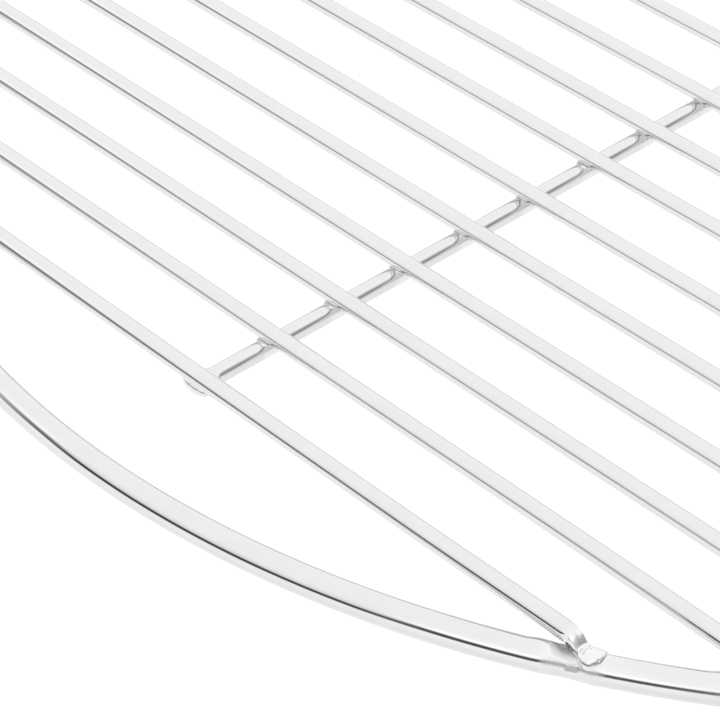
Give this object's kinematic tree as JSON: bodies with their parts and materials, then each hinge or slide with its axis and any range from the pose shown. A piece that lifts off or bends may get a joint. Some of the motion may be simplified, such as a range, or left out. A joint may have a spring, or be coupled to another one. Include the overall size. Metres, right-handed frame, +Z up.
{
  "type": "round cooling rack",
  "caption": "Round wire cooling rack: a thick outer ring, parallel thin bars welded across it and a support wire under the bars.",
  "frame": {"origin": "the middle of the ring, on the surface that the rack stands on", "axes": "+X along the parallel bars, +Y along the cross support, +Z up"},
  "size_m": [0.3336, 0.3336, 0.007],
  "materials": {
    "ring_wire": "polished bright round wire",
    "bar_wire": "polished bright round wire, fine drawing lines along its length",
    "support_wire": "polished bright round wire"
  },
  "bodies": {
    "root": {"outer_ring": "ring_wire", "cross_support": "support_wire", "grid_bar_01": "bar_wire", "grid_bar_02": "bar_wire", "grid_bar_03": "bar_wire", "grid_bar_04": "bar_wire", "grid_bar_05": "bar_wire", "grid_bar_06": "bar_wire", "grid_bar_07": "bar_wire", "grid_bar_08": "bar_wire", "grid_bar_09": "bar_wire", "grid_bar_10": "bar_wire", "grid_bar_11": "bar_wire", "grid_bar_12": "bar_wire", "grid_bar_13": "bar_wire", "grid_bar_14": "bar_wire", "grid_bar_15": "bar_wire", "grid_bar_16": "bar_wire", "grid_bar_17": "bar_wire", "grid_bar_18": "bar_wire", "grid_bar_19": "bar_wire", "grid_bar_20": "bar_wire", "grid_bar_21": "bar_wire", "grid_bar_22": "bar_wire", "grid_bar_23": "bar_wire"}
  },
  "joints": []
}
